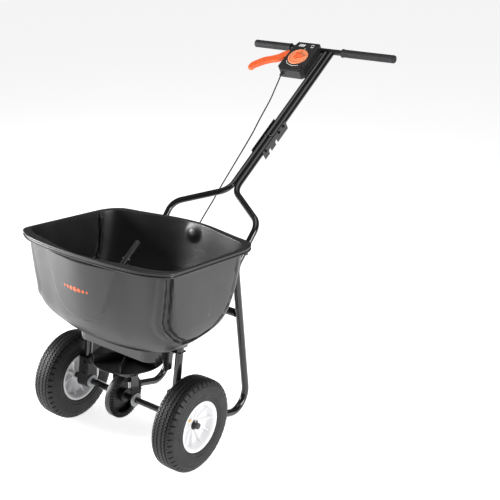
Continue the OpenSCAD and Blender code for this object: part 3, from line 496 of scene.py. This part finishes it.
# Lip, from under the wall up and over: share of the way from wall to lip, outwards, height
LIP_PROFILE = [(0.05, 0.3, -17.6), (0.6, 0, -17.0), (1, -1.9, -16.6), (1, -0.5, -15.8),
               (1, 0, -14.4), (1, -0.3, -13.0), (1, -1.4, -12.2), (1, -3.4, -11.6),
               (1, -4.0, -10.4), (1, -4.0, -6.6), (1, -3.4, -5.4), (1, -1.4, -5.0),
               (1, -0.3, -4.2), (1, 0, -2.9), (1, -0.5, -1.3), (1, -1.6, -0.3), (1, -3.2, 0),
               (0.5, -2.0, -0.2), (0, -1.6, 0), (0, -2.9, -0.4), (0, -3.7, -1.4), (0, -4.0, -3.0)]
# Raised areas: the side panel as (y, z), and the shield on the front as (x, z)
SIDE_PANEL = [(-121, 730), (-121, 545), (-115, 520), (-96, 494), (-56, 467), (1, 457),
              (69, 465), (128, 497), (158, 550), (172, 604), (181, 730)]
SHIELD = [(-150, 720), (-140, 677), (-118, 584), (-98, 540), (-70, 513), (-30, 503), (10, 503),
          (48, 516), (76, 545), (98, 590), (120, 647), (146, 720)]
BUMP_AT, BUMP_R, BUMP_DEPTH = Vector((19, 644)), 40, 11


def ray_hit(line, angle):
    way = Vector((math.cos(angle), math.sin(angle)))
    for p, q in zip(line, line[1:]):
        a, b = p - HOPPER_MIDDLE, q - HOPPER_MIDDLE
        s = way.x * a.y - way.y * a.x
        t = way.x * b.y - way.y * b.x
        if s < 1e-6 and t > -1e-6 and s != t:
            return p + (q - p) * (s / (s - t))
    return line[-1]


def both_halves(right):
    return right + [Vector((-p.x, p.y)) for p in reversed(right[1:-1])]


def smooth_half(line):
    """The half outline as a curve that crosses the middle plane squarely."""
    ends = [(-line[1][0], line[1][1])], [(-line[-2][0], line[-2][1])]
    curve = smooth_path([Vector(p).to_3d() for p in ends[0] + line + ends[1]], 8)
    return [p.to_2d() for p in curve[8:-8]]


def corner_angles(count):
    """Angles from front to back, packed closer where the hopper's corners are."""
    out = []
    for i in range(count + 1):
        t = i / count
        out.append(-math.pi / 2 + math.pi * (t + 0.045 * math.sin(TAU * 2 * t)))
    return out


def distance_inside(p, outline):
    """How far p lies inside an outline, negative outside it."""
    best, inside = 1e9, False
    for a, b in zip(outline, outline[1:] + outline[:1]):
        ax, ay, bx, by = a[0], a[1], b[0], b[1]
        dx, dy = bx - ax, by - ay
        t = max(0, min(1, ((p[0] - ax) * dx + (p[1] - ay) * dy) / (dx * dx + dy * dy)))
        best = min(best, math.hypot(p[0] - ax - t * dx, p[1] - ay - t * dy))
        if (ay > p[1]) != (by > p[1]) and p[0] < dx * (p[1] - ay) / dy + ax:
            inside = not inside
    return best if inside else -best


def step(low, high, x):
    t = max(0, min(1, (x - low) / (high - low)))
    return t * t * (3 - 2 * t)


def wall_relief(p):
    """How far the outside of the wall stands in or out at p, by its panels and its shield."""
    if abs(p.x) > 215 and p.y > -175:
        d = distance_inside((p.y, p.z), SIDE_PANEL)
        at_side = step(215, 250, abs(p.x))
        trench = step(1, -4, d) * (1 - step(-10, -17, d))
        ridge = step(-13, -20, d) * (1 - step(-24, -31, d)) * step(-110, -130, p.y)
        return at_side * (-12.5 * trench + 4.5 * ridge)
    if p.y < -60 and abs(p.x) < 190:
        d = distance_inside((p.x, p.z), SHIELD)
        return 9 * step(-9, 0, d)
    return 0


def bump_relief(p):
    """The round dent in the back wall, which bulges into the hopper."""
    if p.y < 150:
        return 0
    d = math.hypot(p.x - BUMP_AT.x, (p.z - BUMP_AT.y) * 1.1) / BUMP_R
    return -BUMP_DEPTH * (1 - step(0.15, 1, d))


def port_outline(x):
    right, left = (x + PORT_HALF, PORT_Y), (x - PORT_HALF, PORT_Y)
    return arc(right, PORT_R, -90, 90, 12) + arc(left, PORT_R, 90, 270, 12)


def make_hopper():
    angles = corner_angles(HOPPER_COLUMNS)
    base = both_halves([Vector((
        BASE_HALF[0] * math.copysign(abs(math.cos(a)) ** (2 / BASE_SQUARE), math.cos(a)),
        BASE_HALF[1] * math.copysign(abs(math.sin(a)) ** (2 / BASE_SQUARE), math.sin(a))))
        for a in angles])
    wall = both_halves([ray_hit(smooth_half(WALL_LINE), a) for a in angles])
    lip = both_halves([ray_hit(smooth_half(LIP_LINE), a) for a in angles])

    def rim_ring(share, out, up):
        ring = []
        for w, edge in zip(wall, lip):
            p = w.lerp(edge, share)
            p = p + (p - HOPPER_MIDDLE).normalized() * out
            ring.append(Vector((p.x, p.y, RIM_Z - RIM_TILT * p.y + up)))
        return ring

    def wall_ring(level, out, relief):
        share, side, front, back = level
        ring = []
        for b, w in zip(base, wall):
            p = Vector((b.x + (w.x - b.x) * side,
                        b.y + (w.y - b.y) * (front if b.y < 0 else back)))
            way = (p - HOPPER_MIDDLE * share).normalized()
            z = FLOOR_Z + share * (RIM_Z - FLOOR_Z) - RIM_TILT * share * share * p.y
            spot = Vector((p.x, p.y, z))
            q = p + way * (out + relief(spot))
            ring.append(Vector((q.x, q.y, z)))
        return ring

    def relief_at(p):
        return wall_relief(p) * step(FLOOR_Z + 12, FLOOR_Z + 50, p.z)

    def outer(p):
        return relief_at(p) + bump_relief(p)

    def inner(p):
        """The inside follows the outside, so that the wall stays 2 to 6 mm thick."""
        height = relief_at(p)
        return height - max(-WALL / 2, min(WALL / 2, height)) + bump_relief(p)

    rows = smooth_path([Vector((a, s, f)) for a, s, f, _ in LEVELS], HOPPER_STEPS)
    backs = smooth_path([Vector((a, b, 0)) for a, _, _, b in LEVELS], HOPPER_STEPS)
    levels = [(r.x, r.y, r.z, b.y) for r, b in zip(rows, backs)]
    top = [lv for lv in levels if lv[0] < 0.935]
    rings = [[Vector((*(b + b.normalized() * out), TRAY_TOP + up)) for b in base]
             for out, up in FLANGE_PROFILE]
    rings += [wall_ring(lv, 0, outer) for lv in top if lv[0] > 0.012]
    rings += [rim_ring(*row) for row in LIP_PROFILE]
    rings += [wall_ring(lv, -WALL, inner) for lv in reversed(top) if lv[0] > 0.03]
    rings.append([Vector((*(b - b.normalized() * (WALL + 2)), FLOOR_Z + WALL + 0.4)) for b in base])
    rings.append([Vector((*(b - b.normalized() * (WALL + 9)), FLOOR_Z + WALL)) for b in base])
    piece = add("hopper_shell", loft(rings), "hopper_plastic", "frame", ["hopper"], crease=75)
    shaft_hole = lathe([(12, FLOOR_Z - 10), (12, FLOOR_Z + 20)], 40)
    cut(piece, shaft_hole, *[slab(port_outline(x), FLOOR_Z - 10, FLOOR_Z + 20, 0.1)
                             for x in PORTS])
    return piece


# The generic mark on the front: a row of dots, as (x, radius), at one height
MARK_Z = 601
MARK_DOTS = [(-60, 3.6), (-45, 5.0), (-29, 6.4), (-12, 7.6), (5, 6.4), (21, 5.0), (36, 3.6)]


def make_mark(shell):
    """Dots of orange print that lie on the front of the hopper."""
    mesh = shell.data
    skin = BVHTree.FromPolygons([v.co for v in mesh.vertices], [f.vertices for f in mesh.polygons])
    dots = []
    for x, r in MARK_DOTS:
        at, normal, _, _ = skin.ray_cast(Vector((x, -400, MARK_Z)) * MM, Y)
        turn = normal.to_track_quat("Z", "Y").to_matrix().to_4x4()
        dots.append(lathe([(0, -0.5), (r, -0.5), (r, 0.35), (r - 0.3, 0.5), (0, 0.5)], 36,
                          Matrix.Translation(at / MM) @ turn))
    add("front_mark", join(*dots), "orange_plastic", "frame")


# ---------- tyres, rims and valves ----------

TREAD_ZIGZAGS = 84
# Half of the tyre's outside from the middle of the tread: width, radius, share of the zigzag
TREAD_HALF = [(0, 152, 1), (5.6, 151.9, 1), (6.1, 151.3, 1), (6.5, 146.4, 1), (9.3, 146.4, 1),
              (9.7, 151.2, 1), (10.2, 151.8, 1), (18.6, 151.4, 1), (19.1, 150.8, 1),
              (19.5, 145.6, 1), (22.2, 145.6, 1), (22.6, 150.4, 1), (23.1, 150.9, 1),
              (29.2, 149.6, 0.7), (31.2, 148.6, 0.3), (33.2, 147.0, 0), (35.2, 144.6, 0)]
SIDEWALL = [(36.8, 141.8), (38.2, 138.6), (39.4, 135.2), (40.1, 132.4), (40.9, 131.6), (41.2, 130.6),
            (40.9, 129.6), (40.7, 128.6), (41.4, 124), (41.9, 118), (42.0, 112), (41.8, 107),
            (41.4, 103), (41.9, 102.2), (41.9, 101), (41.2, 100.2), (40.6, 96), (40.2, 91),
            (40.6, 89.6), (40.4, 87.8), (39.2, 86.2), (37.6, 85.2), (35.0, 84.6), (33.0, 80.0),
            (31, 78.2)]
TREAD_SWING = 2.9                   # how far the zigzag goes to each side
SIPE_EVERY, SIPE_DEPTH = 8, 3.4


def make_tyre(side, name, body):
    turns = TREAD_ZIGZAGS * 4
    half = [(w, r, z) for w, r, z in TREAD_HALF] + [(w, r, 0) for w, r in SIDEWALL]
    inner = [(26, 79), (30, 92), (33, 118), (26, 136), (12, 141.5)]
    profile = [(-w, r, z) for w, r, z in reversed(half)] + half[1:]
    profile += [(w, r, 0) for w, r in inner] + [(-w, r, 0) for w, r in reversed(inner)]
    wave = [0, 1, 0, -1]
    points_by_row = []
    for w, r, zig in profile:
        row = []
        for i in range(turns):
            angle = TAU * i / turns
            swing = TREAD_SWING * zig * wave[i % 4]
            depth = 0
            if 31 < abs(w) < 39 and r > 133 and i % SIPE_EVERY == 0:
                depth = SIPE_DEPTH
            at = w + swing
            row.append(Vector((half_track + at - math.copysign(depth * 0.6, w),
                               (r - depth) * math.cos(angle), axle_z + (r - depth) * math.sin(angle))))
        points_by_row.append(row)
    part = loft(points_by_row, wrap=True)
    dots = []
    for k in range(18):
        for r, w, size in ((94, 40.3, 0.9), (126, 41.1, 0.9)):
            a = TAU * (k + (0.5 if r > 100 else 0)) / 18
            spot = Matrix.Translation((half_track + w, r * math.cos(a), axle_z + r * math.sin(a)))
            turn = Matrix.Rotation(math.pi / 2, 4, "Y")
            dots.append(lathe([(0, -0.6), (size, -0.4), (size * 0.8, 1.0), (0, 1.3)], 8, spot @ turn))
    part = join(part, *dots)
    if side < 0:
        part = mirrored(part)
    return add(name, part, "tyre_rubber", body, [name.replace("tread_", "")], crease=42)


VALVE_ANGLE, VALVE_R = 137, 52      # from straight back, turning up and over to the front
RIM_RIBS = 10
# The rim from its face's outer edge over the barrel to the other face's edge: radius, offset
RIM_BARREL = [(73.5, 34.5), (74.6, 36.2), (76.4, 37.4), (79, 38.2), (81.6, 38.9), (83.2, 38.6),
              (84.0, 37.4), (84.0, 35.4), (83.2, 34.2), (79, 33.4), (78, 32.4), (78, 22.8),
              (77.2, 21.6), (70.8, 18.4), (70, 17.4)]
FACE_ROWS = 30


def rim_face(r, angle):
    """Offset of the rim's face from its middle plane: hub, then pockets between ribs."""
    hub_top, hub_edge = 14, 19.5
    if r <= hub_edge:
        return hub_top - 0.7 * step(hub_edge - 1.5, hub_edge, r)
    out = (r - hub_edge) / (73.5 - hub_edge)
    floor = 4 + 7 * step(0.1, 0.8, out)
    floor += (hub_top - 0.7 - floor) * (1 - step(hub_edge, hub_edge + 2.0, r))
    floor += (RIM_BARREL[0][1] - floor) * step(65, 73.5, r)
    rib_angle = TAU / RIM_RIBS
    off = abs((angle / rib_angle - 0.5) % 1 - 0.5) * rib_angle * r
    rib_top = hub_top - 1 + 16 * out ** 1.3
    rib = 1 - step(1.6, 3.6, off)
    return max(floor, floor + (rib_top - floor) * rib)


def make_rim(side, name, body):
    turns = 360
    rows = [10.3, 11.0] + [12 + (73.5 - 12) * k / FACE_ROWS for k in range(FACE_ROWS + 1)]

    def ring(r, offset):
        return [Vector((half_track + (offset if not callable(offset) else offset(TAU * i / turns)),
                        r * math.cos(TAU * i / turns), axle_z + r * math.sin(TAU * i / turns)))
                for i in range(turns)]

    rings = [ring(10.1, 13.2)]
    rings += [ring(r, lambda a, r=r: rim_face(r, a)) for r in rows]
    rings += [ring(r, x) for r, x in RIM_BARREL[1:]]
    rings += [ring(r, -x) for r, x in reversed(RIM_BARREL[1:])]
    rings += [ring(r, lambda a, r=r: -rim_face(r, a)) for r in reversed(rows)]
    rings.append(ring(10.1, -13.2))
    part = loft(rings, wrap=True)
    if side < 0:
        part = mirrored(part)
    return add(name, part, "rim_white", body, [name.replace("_face", "")], crease=40)


def make_valve(side, name, body):
    angle = math.radians(VALVE_ANGLE)
    at = (half_track, VALVE_R * math.cos(angle), axle_z + VALVE_R * math.sin(angle))
    profile = [(0, 6), (5.4, 6), (5.4, 12), (5.0, 13.5), (4.3, 15)]
    for k in range(7):
        profile += [(4.3, 15.4 + k), (3.8, 15.9 + k)]
    profile += [(4.3, 22.8), (4.9, 23.2), (4.9, 29.2), (4.3, 30), (0, 30)]
    part = lathe(profile, 28, along_x(at))
    if side < 0:
        part = mirrored(part)
    add(name, part, "valve_brass", body, [name.replace("_stem", "")])


def make_wheels():
    for side, word, body in ((1, "right", "axle"), (-1, "left", "free_wheel")):
        make_tyre(side, "tread_tyre_" + word, body)
        make_rim(side, "rim_" + word + "_face", body)
        make_valve(side, "valve_" + word + "_stem", body)


# ---------- frame tubes ----------

TUBE_R, SLIM_R, BRACE_R, TUBE_WALL = 12.7, 11.0, 14.0, 1.5
LEG_X, POST_X = 180, 193
LEG_TOP = Vector((LEG_X, 327, 556))
LEG_LEAN, RAIL_RISE, FOOT_R = 0.156, 16.5, 65
ELBOW = Vector((186, 441, 677.5))
SPLIT = Vector((SLIM_R + 0.25, 543, 734))
RAIL_END = Vector((LEG_X, 22, 138))
RAIL_BEND_Y = 85
RAIL_BEND_R, LEG_BEND_R, SPLIT_BEND_R = 60, 50, 65
LEG_REACH, HANDLE_INSET = 70, 34    # along the way up: the leg's end, and where the handle starts
JOINT_S = -472
BAR_GAP = 12.2                      # from the crossbar's middle to the upper tubes' ends
POST_FOOT, POST_LEAN = Vector((POST_X, 8, 238)), 0.134
POST_TOP = TRAY_TOP - 1.8


def leg_points():
    """The leg's corners: a leaning upright, a bend on the ground and a rail up to the axle."""
    lean, rise = math.atan(LEG_LEAN), math.radians(RAIL_RISE)
    down = Vector((0, math.sin(lean), -math.cos(lean)))
    rail = Vector((0, -math.cos(rise), math.sin(rise)))
    foot_z = FOOT_R + TUBE_R
    start_z = foot_z + FOOT_R * math.sin(lean)
    start_y = LEG_TOP.y + LEG_LEAN * (LEG_TOP.z - start_z)
    centre = Vector((LEG_X, start_y - FOOT_R * math.cos(lean), foot_z))
    corner = centre - (rail - down).normalized() * FOOT_R / math.cos(down.angle(rail) / 2)
    rail_corner = corner + rail * (corner.y - RAIL_BEND_Y) / math.cos(rise)
    return [RAIL_END, rail_corner, corner, LEG_TOP,
            LEG_TOP + (ELBOW - LEG_TOP).normalized() * LEG_REACH]


def make_tubes():
    up = (ELBOW - LEG_TOP).normalized()
    joint = HANDLE @ Vector((SPLIT.x, JOINT_S - 2, 0))
    post_way = Vector((0, POST_LEAN, 1)).normalized()
    leg = tube(bent_path(leg_points(), [RAIL_BEND_R, FOOT_R, LEG_BEND_R], 5), TUBE_R, TUBE_WALL)
    lower = tube(bent_path([LEG_TOP + up * HANDLE_INSET, ELBOW, SPLIT, joint],
                           [RAIL_BEND_R, SPLIT_BEND_R], 5), SLIM_R, TUBE_WALL)
    upper = tube([HANDLE @ Vector((SPLIT.x, s, 0)) for s in (JOINT_S, -BAR_GAP)], SLIM_R, TUBE_WALL)
    post = tube([POST_FOOT, POST_FOOT + post_way * ((POST_TOP - POST_FOOT.z) / post_way.z)],
                TUBE_R, TUBE_WALL)
    for side, word in ((1, "right"), (-1, "left")):
        for name, part, node_name in (("leg_tube_", leg, "leg_"),
                                      ("handle_bend_", lower, "lower_handle_"),
                                      ("handle_tube_", upper, "upper_handle_"),
                                      ("post_tube_", post, "post_")):
            add(name + word, part if side > 0 else mirrored(part), "black_enamel", "frame",
                [node_name + word])
    brace_low, brace_high = box_mm("rear_cross_tube")
    middle = (brace_low + brace_high) / 2
    reach = LEG_X - TUBE_R
    add("cross_brace", tube([Vector((x, middle.y, middle.z)) for x in (-reach, reach)],
                            BRACE_R, TUBE_WALL), "black_enamel", "frame", ["rear_cross_tube"])
    add("handle_bar", tube([Vector((x, bar_at.y, bar_at.z)) for x in (bar_low.x, bar_high.x)],
                           SLIM_R, TUBE_WALL), "black_enamel", "frame", ["crossbar"])


def make_grip(name, outer_end, inner_end):
    """A moulded grip: a collar, a faintly barrelled sleeve with fine rings and a domed end."""
    way = math.copysign(1, outer_end - inner_end)
    length = abs(outer_end - inner_end)
    profile = [(11.05, 0.6), (11.6, 0), (15.6, 0), (16.4, 0.8), (16.4, 4.4), (15.8, 5.4), (14.8, 6.2)]
    rings = int((length - 30) // 7)
    for k in range(rings):
        at = 12 + k * 7
        profile += [(14.85, at), (14.85, at + 5.0), (14.45, at + 5.6), (14.45, at + 6.4)]
    profile += [(14.9, length - 12), (14.9, length - 6), (14.3, length - 2.8), (12.4, length - 0.7),
                (10, length), (0, length)]
    turn = Matrix.Rotation(way * math.pi / 2, 4, "Y")
    part = lathe(profile, 56, HANDLE @ Matrix.Translation((inner_end, 0, 0)) @ turn)
    add(name, part, "grip_rubber", "frame", [name.replace("_sleeve", "")], crease=30)


# ---------- dial and the box's printed marks ----------

DIAL_AT, DIAL_R = (-83, -88), 40
BOX_TOP, BOX_MID = 36, 25


def make_dial():
    place = HANDLE @ Matrix.Translation((DIAL_AT[0], DIAL_AT[1], 0))
    plate = [(0, BOX_MID + 2), (6, BOX_MID + 2), (6, BOX_TOP + 0.4), (DIAL_R - 1, BOX_TOP + 0.4),
             (DIAL_R - 0.2, BOX_TOP + 1.2), (DIAL_R - 0.2, BOX_TOP + 4.6), (DIAL_R - 1.2, BOX_TOP + 6.4),
             (DIAL_R - 3, BOX_TOP + 7), (DIAL_R - 4.5, BOX_TOP + 6.3), (20, BOX_TOP + 6.3),
             (19, BOX_TOP + 7), (0, BOX_TOP + 7)]
    add("dial_plate", lathe(plate, 96, place), "orange_dial", "dial", ["dial"])
    lobes = [(r * math.cos(a), r * math.sin(a)) for a, r in
             ((TAU * i / 72, 14.5 + 5.5 * math.cos(3 * TAU * i / 72)) for i in range(72))]
    knob = slab(lobes, BOX_TOP + 6.8, BOX_TOP + 14, 2.2)
    pointer = slab([(-2.2, 12), (2.2, 12), (1.4, DIAL_R - 6), (-1.4, DIAL_R - 6)],
                   BOX_TOP + 6.1, BOX_TOP + 8.2, 0.5)
    ticks = [lathe([(0, BOX_TOP + 6), (0.9, BOX_TOP + 6), (0.8, BOX_TOP + 6.9), (0, BOX_TOP + 6.9)], 10,
                   Matrix.Translation(((DIAL_R - 9) * math.cos(TAU * k / 28),
                                       (DIAL_R - 9) * math.sin(TAU * k / 28), 0)))
             for k in range(28)]
    add("dial_knob", moved(join(knob, pointer, *ticks), place), "orange_plastic", "dial")


def ring_band(r, width, start, end, low, high, steps=30):
    outline = arc((0, 0), r + width, start, end, steps) + arc((0, 0), r, end, start, steps)
    return slab(outline, low, high, 0.15)


def make_box_marks():
    """Printed marks: two plain pictogram blocks, an indicator dot and an arc by the dial."""
    low, high = BOX_TOP - 0.3, BOX_TOP + 0.3
    front_arc = moved(ring_band(DIAL_R + 5, 2.2, -150, -62, low, high),
                      Matrix.Translation((DIAL_AT[0], DIAL_AT[1], 0)))
    left_mark = [slab([(-116 + 9 * k, -27), (-109.5 + 9 * k, -27), (-106.5 + 9 * k, -14),
                       (-113 + 9 * k, -14)], low, high, 0.15) for k in range(3)]
    turned = Matrix.Translation((-56, -21, 0))
    right_mark = [moved(ring_band(5.2, 2.8, 30 + 180 * k, 165 + 180 * k, low, high), turned)
                  for k in range(2)]
    add("box_marks", moved(join(front_arc, *left_mark, *right_mark), HANDLE), "rim_white", "frame")
    dot = lathe([(0, low), (2.6, low), (2.6, high), (0, high)], 24,
                HANDLE @ Matrix.Translation((-80, -39, 0)))
    add("indicator_dot", dot, PRINT_CREAM, "frame")


# ---------- what stays as the CAD has it ----------

def keep_cad_nodes():
    keep("black_enamel", "control_screws", "frame_bolts", "splice_bolts", "block_screws", edge=0.3)
    keep("black_enamel", "support_tray", "gate_guides", "rail_straps", "splice_plate_left",
         "splice_plate_right", "gear_bracket", "gear_strap", "cable_clip")
    keep("black_plastic", "bearing_block_left", "bearing_block_right", "drive_gear",
         "axle_washers", "impeller_disc", "control_base", "control_cover")
    keep("nylon", "axle_bush_left", "axle_bush_right", "gear_bushes")
    keep("zinc_steel", "hopper_bolts", "lever_pin", "cable_ferrule", "drive_pins", "cotter_pins",
         "rod_bolt", "gate_plate", "gate_wire", "impeller_shaft", edge=0.2)
    keep("axle_steel", "axle", edge=0.4)
    keep("black_plastic", "stirring_rod", "cable_boot", "shaft_bush", "pinion")
    keep("cable_sheath", "control_cable", edge=0)
    keep("orange_plastic", "lever")


# ---------- all of it ----------

make_camera()
make_studio()
make_mark(make_hopper())
make_wheels()
make_tubes()
make_grip("grip_left_sleeve", -346, -174)
make_grip("grip_right_sleeve", 276, 55)
make_dial()
make_box_marks()
keep_cad_nodes()
